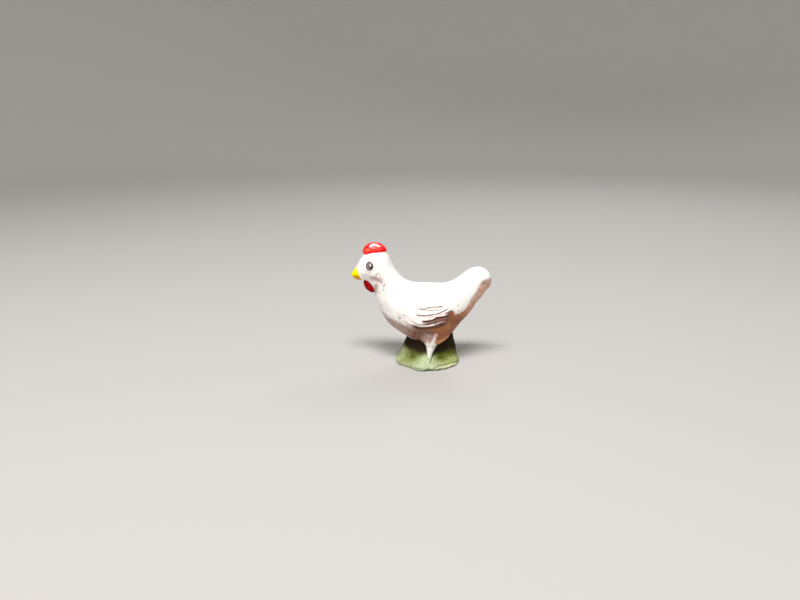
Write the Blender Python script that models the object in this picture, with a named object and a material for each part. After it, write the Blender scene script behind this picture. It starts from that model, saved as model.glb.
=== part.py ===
"""A hand-painted clay figure of a hen, 25 mm tall, standing on a green mound.

The real figure is pressed in a two-part mould, fired and painted. It is parted here with thin
cuts into the pieces that a person would name. The hen faces -X and +Z is up. The origin is the
middle of the base's underside. Sizes below are in millimetres, and MM turns them into metres.
"""

import math

import bmesh
import bpy
from mathutils import Matrix, Vector
from mathutils.bvhtree import BVHTree

MM = 0.001
GAP = 0.3
SIDES = {"left": -1, "right": 1}
BODY_POINTS = 24
BODY_STEPS = 3
OUTSIDE = 20.0

# The tail ends in a half round, turned up behind the back.
TAIL_CENTRE = (9.62, 16.83)
TAIL_RADIUS = 2.71
TAIL_HALF_WIDTH = 2.0
TAIL_RISE = 34.0
TAIL_ROUND_ANGLES = (14.0, 32.0, 58.0, 84.0)

# One section of the body in each row, from the tail's root to the beak:
# back edge x and z, belly edge x and z, half width.
BODY_STATIONS = (
    (7.30, 18.65, 10.60, 13.60, 2.25),
    (5.80, 17.45, 9.20, 11.75, 2.75),
    (4.30, 16.60, 7.90, 9.80, 3.35),
    (2.70, 16.25, 6.25, 7.70, 3.95),
    (0.80, 16.30, 4.30, 5.40, 4.45),
    (-1.10, 16.30, 1.30, 4.50, 4.70),
    (-2.90, 16.40, -2.20, 4.45, 4.70),
    (-4.30, 16.85, -5.15, 5.90, 4.50),
    (-5.30, 17.55, -7.55, 7.80, 4.15),
    (-6.15, 18.50, -9.25, 10.25, 3.70),
    (-6.85, 19.60, -10.20, 12.80, 3.20),
    (-7.40, 20.70, -10.90, 15.10, 2.85),
    (-7.75, 21.85, -12.10, 16.60, 2.70),
    (-9.20, 22.50, -12.95, 16.90, 2.60),
    (-11.20, 22.40, -13.40, 16.95, 2.40),
    (-12.90, 21.45, -13.80, 16.95, 1.95),
    (-13.95, 19.85, -14.30, 17.05, 1.35),
    (-14.75, 18.85, -14.85, 17.35, 0.85),
)
BEAK_TIP = (-15.30, 18.00)

# Each thin cut goes through two points of the outline: back x and z, belly x and z.
TAIL_CUT = (4.90, 16.90, 8.60, 10.80)
NECK_CUT = (-5.00, 17.25, -8.00, 8.60)
HEAD_CUT = (-7.35, 20.60, -11.15, 15.40)
BEAK_CUT = (-13.95, 19.75, -13.30, 17.00)

# The comb is a low rounded crest, half sunk in the crown.
COMB_CENTRE = (-10.55, 0.0, 22.30)
COMB_HALF_SIZE = (2.42, 1.25, 2.15)

# Two wattles hang side by side under the chin, along the throat.
WATTLE_TOP = (-12.15, 16.75)
WATTLE_BOTTOM = (-11.05, 14.55)
WATTLE_HALF_SIZE = (0.85, 0.72, 1.75)
WATTLE_SPREAD = 0.55
WATTLE_LENGTHS = {"left": 1.0, "right": 0.92}

# The eyes are low domes on the sides of the head.
EYE_PLACE = (-11.50, 20.20)
EYE_HALF_SIZE = (0.72, 0.90, 0.50)
EYE_SINK = 0.34

# A wing is a lens laid on the flank, with a tier of overlapping feather edges along it.
WING_PLACE = (0.75, 10.95)
WING_HALF_SIZE = (4.90, 3.05, 1.70)
WING_SINK = 1.10
WING_RISE = 5.0
# Front x and z, lowest x and z, rear x and z of each feather's edge, from the top down.
FEATHER_EDGES = (
    (-1.90, 12.85, 0.60, 12.60, 3.20, 12.90),
    (-2.60, 11.75, -0.20, 11.20, 4.10, 12.25),
    (-2.70, 10.70, -0.20, 10.15, 4.10, 11.30),
    (-2.60, 9.85, -0.40, 9.25, 3.40, 10.25),
    (-2.00, 9.20, 0.10, 8.65, 2.40, 9.20),
)
# Across an edge: it starts flush above, rises to a lip, drops back below, and is rooted in the wing.
FEATHER_WIDTH = 1.05
FEATHER_ABOVE = 0.65
FEATHER_BELOW = 0.25
FEATHER_LIP = 0.24
FEATHER_SUNK = 0.15
FEATHER_ROOT = 0.55
FEATHER_END = 0.10
FEATHER_SECTIONS = 10

# The legs are pegs in relief on the sides of the mound: z, front x, rear x, y and half depth.
LEG_POINTS = 16
LEG_STATIONS = (
    (6.60, -2.20, 3.90, 2.55, 1.60),
    (5.60, -2.05, 3.50, 2.60, 1.55),
    (4.90, -1.35, 2.75, 2.70, 1.35),
    (4.20, -0.60, 1.90, 2.80, 1.05),
    (3.10, -0.25, 1.15, 2.85, 0.85),
    (2.00, -0.05, 0.75, 2.95, 0.62),
    (1.10, 0.05, 0.50, 3.10, 0.42),
)

# The mound: z, middle x, half length, half width. The rim is uneven, as pressed by hand.
MOUND_POINTS = 48
MOUND_STATIONS = (
    (0.00, 0.00, 6.00, 5.85),
    (0.40, 0.00, 6.25, 6.00),
    (0.80, 0.00, 6.10, 5.55),
    (1.40, 0.05, 5.90, 4.20),
    (2.30, 0.15, 5.65, 3.35),
    (3.50, 0.30, 5.25, 2.85),
    (5.20, 0.50, 4.70, 2.50),
    (7.60, 0.60, 4.20, 2.40),
)
# Each lobe or notch of the rim: direction in degrees, spread in degrees, share of the radius.
RIM_LUMPS = ((-108.0, 14.0, 0.10), (-91.0, 5.0, -0.13), (70.0, 16.0, 0.05), (112.0, 9.0, -0.05))
RIM_OVAL = 0.05
RIM_TOP = 1.4
# The mound swells below each leg: direction, spread, share of the half width, height it ends at.
FOOT_DIRECTION = 88.0
FOOT_SPREAD = 24.0
FOOT_SWELL = 0.14
FOOT_TOP = 2.3


def clear_scene():
    for obj in list(bpy.data.objects):
        bpy.data.objects.remove(obj)


def collection(name):
    made = bpy.data.collections.new(name)
    bpy.context.scene.collection.children.link(made)
    return made


def paint(name, colour, roughness):
    material = bpy.data.materials.new(name)
    material.use_nodes = True
    shader = material.node_tree.nodes["Principled BSDF"]
    shader.inputs["Base Color"].default_value = (*colour, 1.0)
    shader.inputs["Roughness"].default_value = roughness
    shader.inputs["Metallic"].default_value = 0.0
    return material


def metres(x, y, z):
    return Vector((x, y, z)) * MM


def new_object(name, bm, place, material=None):
    """Puts a bmesh in the scene as an object, shaded smooth where it is round."""
    bmesh.ops.recalc_face_normals(bm, faces=bm.faces)
    mesh = bpy.data.meshes.new(name)
    bm.to_mesh(mesh)
    bm.free()
    mesh.shade_smooth()
    mesh.set_sharp_from_angle(angle=math.radians(40))
    obj = bpy.data.objects.new(name, mesh)
    place.objects.link(obj)
    if material:
        mesh.materials.append(material)
    return obj


def make_cutter(obj):
    obj.hide_render = True
    obj.display_type = "WIRE"
    return obj


def grown_copy(obj, place, clearance=GAP):
    """A copy of obj, larger by the clearance on every side, to cut its seat in a neighbour."""
    copy = bpy.data.objects.new(obj.name + "_clearance", obj.data.copy())
    place.objects.link(copy)
    copy.matrix_world = obj.matrix_world.copy()
    swell = copy.modifiers.new("clearance", "DISPLACE")
    swell.strength = clearance * MM
    swell.mid_level = 0.0
    return make_cutter(copy)


def cut(obj, cutter, solver="EXACT"):
    boolean = obj.modifiers.new("cut_" + cutter.name, "BOOLEAN")
    boolean.operation = "DIFFERENCE"
    boolean.solver = solver
    boolean.object = cutter


def evaluated_bmesh(obj):
    graph = bpy.context.evaluated_depsgraph_get()
    mesh = bpy.data.meshes.new_from_object(obj.evaluated_get(graph), depsgraph=graph)
    bm = bmesh.new()
    bm.from_mesh(mesh)
    bm.transform(obj.matrix_world)
    bpy.data.meshes.remove(mesh)
    return bm


def shells(bm):
    """The faces of each closed surface in a bmesh, largest volume first."""
    left = set(bm.faces)
    found = []
    while left:
        todo = [left.pop()]
        shell = set(todo)
        while todo:
            for edge in todo.pop().edges:
                for face in edge.link_faces:
                    if face in left:
                        left.remove(face)
                        shell.add(face)
                        todo.append(face)
        found.append(shell)

    def volume(shell):
        return abs(sum(f.calc_center_median().dot(f.normal) * f.calc_area() for f in shell))

    return sorted(found, key=volume, reverse=True)


def keep_largest_shell(bm):
    for shell in shells(bm)[1:]:
        bmesh.ops.delete(bm, geom=list(shell), context="FACES")


def join_pieces(name, pieces, place, material):
    """One closed body from overlapping closed pieces, by one Boolean union on their collection."""
    group = collection(name + "_pieces")
    first, *others = pieces
    for piece in others:
        for old in piece.users_collection:
            old.objects.unlink(piece)
        group.objects.link(piece)
    union = first.modifiers.new("union", "BOOLEAN")
    union.operation = "UNION"
    union.operand_type = "COLLECTION"
    union.collection = group
    union.solver = "MANIFOLD"
    bpy.context.view_layer.update()
    bm = evaluated_bmesh(first)
    keep_largest_shell(bm)
    for piece in pieces:
        bpy.data.objects.remove(piece)
    bpy.data.collections.remove(group)
    return new_object(name, bm, place, material)


def smooth_between(rows, steps):
    """Catmull-Rom rows through the given rows, with the given number of steps between two."""
    made = []
    for i in range(len(rows) - 1):
        around = [rows[max(0, min(len(rows) - 1, j))] for j in (i - 1, i, i + 1, i + 2)]
        for step in range(steps):
            t = step / steps
            weights = (
                (-t + 2 * t**2 - t**3) / 2,
                (2 - 5 * t**2 + 3 * t**3) / 2,
                (t + 4 * t**2 - 3 * t**3) / 2,
                (-(t**2) + t**3) / 2,
            )
            made.append([sum(w * v for w, v in zip(weights, column)) for column in zip(*around)])
    made.append(list(rows[-1]))
    return made


def skin_rings(bm, rings):
    """Joins rings of vertices into a closed tube. A ring of one vertex is a pole."""
    for one, two in zip(rings, rings[1:]):
        count = max(len(one), len(two))
        for i in range(count):
            j = (i + 1) % count
            if len(one) == 1:
                bm.faces.new((one[0], two[i], two[j]))
            elif len(two) == 1:
                bm.faces.new((one[i], two[0], one[j]))
            else:
                bm.faces.new((one[i], two[i], two[j], one[j]))
    for ring in (rings[0], rings[-1]):
        if len(ring) > 1:
            bm.faces.new(ring)


def body_section(bm, row):
    """An upright oval through a point of the back and one of the belly."""
    back_x, back_z, belly_x, belly_z, half_width = row
    middle = Vector(((back_x + belly_x) / 2, 0, (back_z + belly_z) / 2))
    up = Vector(((back_x - belly_x) / 2, 0, (back_z - belly_z) / 2))
    ring = []
    for i in range(BODY_POINTS):
        angle = 2 * math.pi * i / BODY_POINTS
        point = middle + up * math.cos(angle) + Vector((0, half_width * math.sin(angle), 0))
        ring.append(bm.verts.new(point * MM))
    return ring


def tail_round():
    """Sections of the half round at the tail's end, from its tip forwards."""
    rows = []
    for angle in TAIL_ROUND_ANGLES:
        back = math.radians(TAIL_RISE + angle)
        belly = math.radians(TAIL_RISE - angle)
        rows.append(
            (
                TAIL_CENTRE[0] + TAIL_RADIUS * math.cos(back),
                TAIL_CENTRE[1] + TAIL_RADIUS * math.sin(back),
                TAIL_CENTRE[0] + TAIL_RADIUS * math.cos(belly),
                TAIL_CENTRE[1] + TAIL_RADIUS * math.sin(belly),
                TAIL_HALF_WIDTH * math.sin(math.radians(angle)),
            )
        )
    return rows


def make_trunk():
    """The hen's whole body from tail to beak, as one closed bmesh."""
    bm = bmesh.new()
    rise = math.radians(TAIL_RISE)
    tail_tip = metres(
        TAIL_CENTRE[0] + TAIL_RADIUS * math.cos(rise),
        0,
        TAIL_CENTRE[1] + TAIL_RADIUS * math.sin(rise),
    )
    rows = smooth_between([*tail_round(), *BODY_STATIONS], BODY_STEPS)
    rings = [[bm.verts.new(tail_tip)]]
    rings += [body_section(bm, row) for row in rows]
    rings.append([bm.verts.new(metres(BEAK_TIP[0], 0, BEAK_TIP[1]))])
    skin_rings(bm, rings)
    bmesh.ops.recalc_face_normals(bm, faces=bm.faces)
    return bm


def cut_plane(line):
    """A point of a thin cut and its normal, which points to the tail."""
    back_x, back_z, belly_x, belly_z = line
    along = Vector((belly_x - back_x, 0, belly_z - back_z)).normalized()
    return metres(back_x, 0, back_z), along.cross(Vector((0, 1, 0)))


def part_of_trunk(trunk, name, place, material, tail_side=None, beak_side=None):
    """The length of the trunk between two thin cuts, or from one cut to the trunk's end."""
    bm = trunk.copy()
    for line, sign in ((tail_side, 1), (beak_side, -1)):
        if line is None:
            continue
        point, normal = cut_plane(line)
        outward = normal * sign
        bmesh.ops.bisect_plane(
            bm,
            geom=[*bm.verts, *bm.edges, *bm.faces],
            dist=1e-7,
            plane_co=point - outward * (GAP / 2 * MM),
            plane_no=outward,
            clear_outer=True,
        )
        rim = [edge for edge in bm.edges if edge.is_boundary]
        bmesh.ops.contextual_create(bm, geom=rim)
    return new_object(name, bm, place, material)


def flank_point(tree, x, z, side):
    """Where a line along Y from outside meets the trunk's flank, and the normal there."""
    origin = metres(x, side * OUTSIDE, z)
    hit, normal, _, _ = tree.ray_cast(origin, Vector((0, -side, 0)))
    if hit is None:
        raise ValueError(f"no surface at x {x}, z {z}")
    return hit, normal


def ellipsoid(half_size, matrix, columns=24, rows=14):
    bm = bmesh.new()
    bmesh.ops.create_uvsphere(bm, u_segments=columns, v_segments=rows, radius=1.0)
    bmesh.ops.transform(bm, matrix=Matrix.Diagonal((*half_size, 1.0)), verts=bm.verts)
    bmesh.ops.transform(bm, matrix=Matrix.Scale(MM, 4), verts=bm.verts)
    bmesh.ops.transform(bm, matrix=matrix, verts=bm.verts)
    return bm


def frame_on(point, normal, rise=0.0):
    """A matrix at point whose Z is the normal and whose X lies near the hen's length."""
    along = Vector((1, 0, 0)) - normal * normal.x
    along.normalize()
    turned = Matrix.Rotation(math.radians(rise), 3, normal) @ along
    across = normal.cross(turned)
    matrix = Matrix((turned, across, normal)).transposed().to_4x4()
    matrix.translation = point
    return matrix


def make_comb(place, material):
    bm = ellipsoid(COMB_HALF_SIZE, Matrix.Translation(metres(*COMB_CENTRE)), 24, 16)
    return new_object("comb", bm, place, material)


def make_wattles(place, material):
    top = metres(WATTLE_TOP[0], 0, WATTLE_TOP[1])
    bottom = metres(WATTLE_BOTTOM[0], 0, WATTLE_BOTTOM[1])
    lean = Vector((0, 0, 1)).rotation_difference(top - bottom).to_matrix().to_4x4()
    lobes = []
    for name, side in SIDES.items():
        centre = (top + bottom) / 2 + metres(0, side * WATTLE_SPREAD, 0)
        across, wide, long = WATTLE_HALF_SIZE
        size = (across, wide, long * WATTLE_LENGTHS[name])
        bm = ellipsoid(size, Matrix.Translation(centre) @ lean, 16, 12)
        lobes.append(new_object("lobe_" + name, bm, place, material))
    return join_pieces("wattles", lobes, place, material)


def make_eye(name, side, tree, place, material):
    point, normal = flank_point(tree, *EYE_PLACE, side)
    matrix = frame_on(point - normal * (EYE_SINK * MM), normal)
    bm = ellipsoid(EYE_HALF_SIZE, matrix, 14, 8)
    return new_object("eye_" + name, bm, place, material)


def feather(edge, tree, side):
    """A tapered vane along one feather's edge, thin above and with a raised lip below."""
    front, low, rear = edge[0:2], edge[2:4], edge[4:6]
    bm = bmesh.new()
    rings = []
    for i in range(FEATHER_SECTIONS + 1):
        t = i / FEATHER_SECTIONS
        control = [2 * low[k] - (front[k] + rear[k]) / 2 for k in (0, 1)]
        x, z = (
            (1 - t) ** 2 * front[k] + 2 * t * (1 - t) * control[k] + t**2 * rear[k]
            for k in (0, 1)
        )
        slope_x, slope_z = (
            2 * (1 - t) * (control[k] - front[k]) + 2 * t * (rear[k] - control[k])
            for k in (0, 1)
        )
        point, normal = flank_point(tree, x, z, side)
        along = Vector((slope_x, 0, slope_z)).normalized()
        down = normal.cross(along).normalized()
        if down.z > 0:
            down.negate()
        swell = FEATHER_END + (1 - FEATHER_END) * math.sqrt(math.sin(math.pi * t))
        width = FEATHER_WIDTH * MM * swell
        lip = FEATHER_LIP * MM * swell
        buried = FEATHER_SUNK * MM
        ring = (
            point - down * width * FEATHER_ABOVE - normal * buried,
            point + normal * lip,
            point + down * width * FEATHER_BELOW - normal * buried,
            point - normal * FEATHER_ROOT * MM * swell,
        )
        rings.append([bm.verts.new(co) for co in ring])
    skin_rings(bm, rings)
    bmesh.ops.triangulate(bm, faces=bm.faces)
    return bm


def make_wing(name, side, tree, place, cutters, material):
    """A wing, and the hollow that seats it in the flank."""
    point, normal = flank_point(tree, *WING_PLACE, side)
    matrix = frame_on(point - normal * (WING_SINK * MM), normal, -side * WING_RISE)
    lens = new_object("lens", ellipsoid(WING_HALF_SIZE, matrix, 28, 16), place, material)
    seat = grown_copy(lens, cutters)
    wing_tree = BVHTree.FromObject(lens, bpy.context.evaluated_depsgraph_get())
    vanes = [
        new_object(f"feather_{i}", feather(edge, wing_tree, side), place, material)
        for i, edge in enumerate(FEATHER_EDGES)
    ]
    return join_pieces("wing_" + name, [lens, *vanes], place, material), seat


def make_leg(name, side, place, material):
    bm = bmesh.new()
    rings = []
    for z, front, rear, out, depth in smooth_between(LEG_STATIONS, 2):
        ring = []
        for i in range(LEG_POINTS):
            angle = 2 * math.pi * i / LEG_POINTS
            x = (front + rear) / 2 + (rear - front) / 2 * math.cos(angle)
            y = side * out + depth * math.sin(angle)
            ring.append(bm.verts.new(metres(x, y, z)))
        rings.append(ring)
    skin_rings(bm, rings)
    return new_object("leg_" + name, bm, place, material)


def bump_at(angle, where, spread):
    """1 at an angle, falling off to 0 on both sides of it, all in degrees."""
    away = (angle - where + 180) % 360 - 180
    return math.exp(-((away / spread) ** 2))


def make_base(place, material):
    """The mound, with its uneven rim and a swell below each leg."""
    bm = bmesh.new()
    rings = []
    for z, middle, half_length, half_width in smooth_between(MOUND_STATIONS, 2):
        near_rim = max(0.0, 1 - z / RIM_TOP)
        near_foot = math.sin(math.pi * min(1.0, z / FOOT_TOP))
        ring = []
        for i in range(MOUND_POINTS):
            degrees = 360 * i / MOUND_POINTS - 180
            angle = math.radians(degrees)
            rim = RIM_OVAL * math.cos(2 * angle)
            rim += sum(share * bump_at(degrees, at, spread) for at, spread, share in RIM_LUMPS)
            reach = 1 + rim * near_rim
            foot = sum(bump_at(degrees, s * FOOT_DIRECTION, FOOT_SPREAD) for s in SIDES.values())
            x = middle + half_length * math.cos(angle) * reach
            y = half_width * math.sin(angle) * (reach + FOOT_SWELL * foot * near_foot)
            ring.append(bm.verts.new(metres(x, y, z)))
        rings.append(ring)
    skin_rings(bm, rings)
    return new_object("base", bm, place, material)


def build():
    clear_scene()
    hen = collection("clay_hen")
    cutters = collection("cutters")
    white = paint("white_paint", (0.91, 0.89, 0.86), 0.6)
    red = paint("red_paint", (0.80, 0.01, 0.02), 0.35)
    yellow = paint("yellow_paint", (0.95, 0.72, 0.03), 0.4)
    green = paint("green_paint", (0.27, 0.31, 0.12), 0.75)
    dark = paint("eye_paint", (0.06, 0.05, 0.05), 0.4)

    trunk = make_trunk()
    tree = BVHTree.FromBMesh(trunk)
    part_of_trunk(trunk, "tail", hen, white, beak_side=TAIL_CUT)
    torso = part_of_trunk(trunk, "torso", hen, white, TAIL_CUT, NECK_CUT)
    part_of_trunk(trunk, "neck", hen, white, NECK_CUT, HEAD_CUT)
    head = part_of_trunk(trunk, "head", hen, white, HEAD_CUT, BEAK_CUT)
    part_of_trunk(trunk, "beak", hen, yellow, tail_side=BEAK_CUT)
    whole = new_object("trunk", trunk, cutters)
    whole_grown = grown_copy(whole, cutters)
    make_cutter(whole)

    cut(make_comb(hen, red), whole_grown)
    cut(make_wattles(hen, red), whole_grown, "MANIFOLD")
    base = make_base(hen, green)
    cut(base, whole_grown, "MANIFOLD")
    for name, side in SIDES.items():
        eye = make_eye(name, side, tree, hen, dark)
        cut(head, grown_copy(eye, cutters))
        _, seat = make_wing(name, side, tree, hen, cutters, white)
        cut(torso, seat)
        leg = make_leg(name, side, hen, white)
        cut(base, grown_copy(leg, cutters), "MANIFOLD")
        cut(leg, whole_grown)


build()
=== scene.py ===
"""A small hand-painted clay figure of a hen on a green mound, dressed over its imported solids.

Pieces are shaped in millimetres and turned to metres when they are finished.
"""

import math

import bmesh
import bpy
import numpy as np
from mathutils import Matrix, Vector, noise
from mathutils.bvhtree import BVHTree


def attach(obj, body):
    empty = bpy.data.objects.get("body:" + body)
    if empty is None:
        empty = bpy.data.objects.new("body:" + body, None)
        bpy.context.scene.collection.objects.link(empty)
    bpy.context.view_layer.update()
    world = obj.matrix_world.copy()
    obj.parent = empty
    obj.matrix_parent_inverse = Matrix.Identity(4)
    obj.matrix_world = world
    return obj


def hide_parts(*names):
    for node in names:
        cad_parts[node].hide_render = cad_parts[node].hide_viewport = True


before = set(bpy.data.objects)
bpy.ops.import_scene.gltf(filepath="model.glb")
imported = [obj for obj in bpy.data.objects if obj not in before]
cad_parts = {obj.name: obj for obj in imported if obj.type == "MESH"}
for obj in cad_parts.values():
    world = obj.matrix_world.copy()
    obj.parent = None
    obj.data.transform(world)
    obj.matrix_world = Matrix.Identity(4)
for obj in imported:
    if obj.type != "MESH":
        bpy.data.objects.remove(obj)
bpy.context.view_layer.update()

# The mound
# It is the foot of the figure, a lump of the same red clay pressed with the hen and pinched out to
# a thin uneven rim. Moss-green gouache was brushed over it once it was fired.

MM = 0.001
# Height, middle, half length and half width of the mound's sections.
MOUND_SECTIONS = (
    (0.02, 0.00, 5.95, 5.80),
    (0.40, 0.00, 6.25, 6.00),
    (0.80, 0.00, 6.10, 5.55),
    (1.40, 0.05, 5.90, 4.05),
    (2.30, 0.15, 5.65, 3.25),
    (3.50, 0.30, 5.25, 2.85),
    (5.20, 0.50, 4.70, 2.50),
    (7.60, 0.60, 4.20, 2.40),
)
# Direction, spread and share of the radius of each lobe and notch of the rim.
RIM_LUMPS = (
    (-108, 14, 0.10), (-91, 5, -0.13), (-132, 5, -0.02), (-150, 6, 0.02),
    (70, 16, 0.05), (112, 9, -0.05), (150, 8, -0.02), (20, 10, 0.02),
)
RIM_TOP = 1.4
RIM_OVAL = 0.05
RIM_CRUMBLE = 0.012
# Each foot of clay below a leg: its direction, spread, height and share of the radius.
FOOT_TURN = 88
FOOT_SPREAD = 24
FOOT_TOP = 2.6
FOOT_OUT = 0.14
# Height, size and seed of the lumps that fingers left in the mound.
MOUND_LUMPS = ((0.09, 2.4, 1), (0.045, 0.8, 2), (0.022, 0.35, 5))


def smooth_between(rows, steps):
    """Rows on a Catmull-Rom curve through the given ones."""
    made = []
    for i in range(len(rows) - 1):
        around = [rows[max(0, min(len(rows) - 1, j))] for j in (i - 1, i, i + 1, i + 2)]
        for step in range(steps):
            t = step / steps
            weights = (
                (-t + 2 * t**2 - t**3) / 2,
                (2 - 5 * t**2 + 3 * t**3) / 2,
                (t + 4 * t**2 - 3 * t**3) / 2,
                (-(t**2) + t**3) / 2,
            )
            made.append([sum(w * v for w, v in zip(weights, column)) for column in zip(*around)])
    made.append(list(rows[-1]))
    return made


def coil_up(bm, places, points):
    """Bridges circles laid at the given places, as a potter stacks coils, and closes both ends."""
    before = None
    rings = []
    for place in places:
        ring = bmesh.ops.create_circle(bm, segments=points, radius=1, matrix=place)["verts"]
        edges = list({edge for vert in ring for edge in vert.link_edges})
        rings.append(edges)
        if before:
            bmesh.ops.bridge_loops(bm, edges=before + edges)
        before = edges
    for edges in (rings[0], rings[-1]):
        bmesh.ops.contextual_create(bm, geom=edges)
    bmesh.ops.recalc_face_normals(bm, faces=bm.faces)


def knead(name, bm, grain, rubs):
    """One skin round all the lumps of clay in bm, rubbed smooth where they meet."""
    mesh = bpy.data.meshes.new(name)
    bm.to_mesh(mesh)
    bm.free()
    piece = bpy.data.objects.new(name, mesh)
    bpy.context.scene.collection.objects.link(piece)
    skin = piece.modifiers.new("skin", "REMESH")
    skin.mode = "VOXEL"
    skin.voxel_size = grain
    rub = piece.modifiers.new("rub", "SMOOTH")
    rub.iterations = rubs
    graph = bpy.context.evaluated_depsgraph_get()
    piece.data = bpy.data.meshes.new_from_object(piece.evaluated_get(graph), depsgraph=graph)
    piece.modifiers.clear()
    return piece


def surface(piece):
    """The places and the normals of a piece's points, as arrays."""
    count = len(piece.data.vertices)
    places = np.empty(count * 3, np.float32)
    normals = np.empty(count * 3, np.float32)
    piece.data.vertices.foreach_get("co", places)
    piece.data.vertex_normals.foreach_get("vector", normals)
    return places.reshape(-1, 3).astype(float), normals.reshape(-1, 3).astype(float)


def move_to(piece, places):
    """Sets a piece's points at the given places."""
    piece.data.vertices.foreach_set("co", places.astype(np.float32).ravel())
    piece.data.update()


def lumps(places, size, seed):
    """Noise between -1 and 1 whose lumps are about size millimetres across."""
    shift = Vector((seed * 7.31, seed * 3.17, seed * 1.73))
    return np.array([noise.noise(Vector(place) / size + shift) for place in places])


def uneven(places, rows):
    """Lumps of several sizes together: each row's height, size and seed."""
    return sum(tall * lumps(places, size, seed) for tall, size, seed in rows)


def ease(low, high, value):
    """0 below low, 1 above high, and a smooth rise between."""
    t = np.clip((value - low) / (high - low), 0, 1)
    return t * t * (3 - 2 * t)


def bell(value, width):
    """1 at 0, falling off evenly to either side over about the width."""
    return np.exp(-((value / width) ** 2))


def mask(piece, name, values):
    """Keeps a number for each point, which the piece's paint reads."""
    layer = piece.data.attributes.new(name, "FLOAT", "POINT")
    layer.data.foreach_set("value", np.clip(values, 0, 1).astype(np.float32))


def finish_piece(piece, slot, paint, *nodes):
    """Sets a shaped piece at its real size on the figure, painted."""
    piece.data.transform(Matrix.Scale(MM, 4))
    piece.data.shade_smooth()
    piece.data.materials.clear()
    piece.data.materials.append(paint)
    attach(piece, "root")
    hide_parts(*nodes)


bm = bmesh.new()
coil_up(
    bm,
    [
        Matrix.Translation((middle, 0, height)) @ Matrix.Diagonal((long, wide, 1, 1))
        for height, middle, long, wide in smooth_between(MOUND_SECTIONS, 2)
    ],
    points=72,
)
mound = knead("mound", bm, grain=0.12, rubs=4)

places, normals = surface(mound)
x, y, z = places.T
turn = np.degrees(np.arctan2(y, x))
near_rim = np.clip(1 - z / RIM_TOP, 0, 1)
share = RIM_OVAL * np.cos(2 * np.radians(turn))
for direction, spread, size in RIM_LUMPS:
    share += size * bell((turn - direction + 180) % 360 - 180, spread)
share += RIM_CRUMBLE * lumps(places, 0.9, 3)
foot = bell(np.abs(turn) - FOOT_TURN, FOOT_SPREAD) * np.sin(np.pi * np.clip(z / FOOT_TOP, 0, 1))
places[:, 0] *= 1 + share * near_rim
places[:, 1] *= 1 + share * near_rim + FOOT_OUT * foot
move_to(mound, places)

# Below the leg a foot spreads like a fan, with a valley on each side of it that runs up under the
# belly. A pinched lip with a crease above it goes along the rim behind the foot, and a shorter
# crease along the rim before it. Directions are in degrees from the tail's side.
VALLEY_DEEP = 0.40
FAN_OUT = 0.24
TOE_HOLLOW = 0.18
CREASE_TURN = (16, 24, 40, 70, 84)
CREASE_HEIGHT = (0.50, 0.55, 0.80, 0.88, 0.40)
CREASE_DEEP = 0.17
LIP_OUT = 0.10
LIP_BELOW_CREASE = 0.36
FRONT_CREASE_HEIGHT = 0.55
FRONT_CREASE_DEEP = 0.14
STROKE_HIGH = 0.03
CRUMB_HIGH = 0.09
PORE_DEEP = 0.28

places, normals = surface(mound)
x, y, z = places.T
turn = np.degrees(np.arctan2(np.abs(y), x))
wobble = lumps(places, 1.1, 7)
behind_foot = bell(turn - (56 - 3 * z), 20)
before_foot = bell(turn - (130 + 3 * z), 18)
valley = np.maximum(behind_foot, before_foot) * ease(0.9, 1.9, z)
fan = bell(turn - (94 - 2 * z), 14)
relief = -VALLEY_DEEP * valley * bell(z - 2.5, 1.5)
relief += FAN_OUT * fan * bell(z - 0.9, 1.0)
relief -= TOE_HOLLOW * bell(turn - FOOT_TURN, 9) * bell(z - 2.2, 0.6)
crease = z - np.interp(turn, CREASE_TURN, CREASE_HEIGHT) - 0.07 * wobble
along_lip = ease(10, 24, turn) * (1 - ease(80, 88, turn))
relief -= CREASE_DEEP * bell(crease, 0.15) * along_lip
lip_out = LIP_OUT + 0.06 * lumps(places, 0.6, 8)
relief += lip_out * bell(crease + LIP_BELOW_CREASE, 0.28) * along_lip
front_crease = z - FRONT_CREASE_HEIGHT - 0.10 * wobble
along_front = ease(98, 106, turn) * (1 - ease(128, 138, turn))
relief -= FRONT_CREASE_DEEP * bell(front_crease, 0.10) * along_front
strokes = lumps(places * (1.0, 1.0, 0.22), 0.40, 9)
relief += uneven(places, MOUND_LUMPS)
relief += STROKE_HIGH * strokes * ease(1.0, 1.8, z)
relief += CRUMB_HIGH * lumps(places, 0.55, 4) * (1 - ease(0.4, 1.0, z))
pores = np.clip(lumps(places, 0.34, 6) - 0.38, 0, 1) * (1 - ease(0.8, 1.5, z)) * ease(40, 60, turn)
relief -= PORE_DEEP * pores


def near_line(points, across, up):
    """How far each place is from a line drawn through points, and how far along it."""
    path = np.array(smooth_between(points, 6))
    far = np.full(len(across), np.inf)
    along = np.zeros(len(across))
    for i in range(len(path) - 1):
        ahead = path[i + 1] - path[i]
        from_across = across - path[i][0]
        from_up = up - path[i][1]
        t = np.clip((from_across * ahead[0] + from_up * ahead[1]) / (ahead @ ahead), 0, 1)
        gap = np.hypot(from_across - t * ahead[0], from_up - t * ahead[1])
        along = np.where(gap < far, (i + t) / (len(path) - 1), along)
        far = np.minimum(far, gap)
    return far, along


# A crack opened behind each leg as the clay dried.
CRACK = ((1.35, 3.5), (0.95, 2.5), (0.55, 1.75), (0.15, 1.15))
CRACK_DEEP = 0.20
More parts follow.
